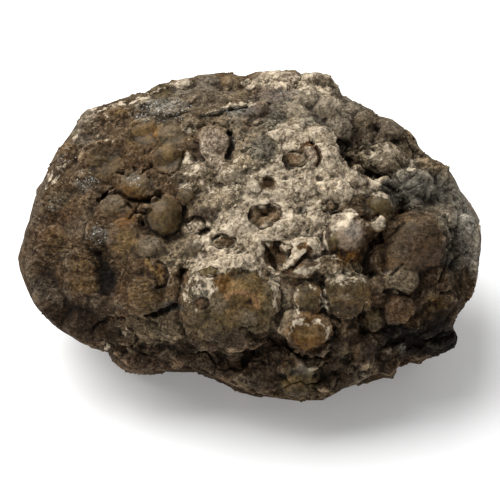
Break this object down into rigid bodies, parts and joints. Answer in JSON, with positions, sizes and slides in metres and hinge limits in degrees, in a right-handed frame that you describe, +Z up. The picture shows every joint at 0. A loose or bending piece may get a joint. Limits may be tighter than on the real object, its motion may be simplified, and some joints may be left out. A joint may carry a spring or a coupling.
{
  "type": "coprolite",
  "caption": "Fossil dung nodule: a rounded brown stone crusted with smooth domes, a pale crumbly face, pits and crevices, resting on a flat on its underside.",
  "frame": {"origin": "on the ground, on the flat of the stone's underside", "axes": "+X along the stone's length, +Y towards its back, +Z up; its detailed face looks to -Y and up"},
  "size_m": [0.1518, 0.1253, 0.0903],
  "materials": {
    "stone": "rough brown and cream stone, with waxy olive and amber domes"
  },
  "bodies": {
    "root": {"coprolite": "stone"}
  },
  "joints": []
}
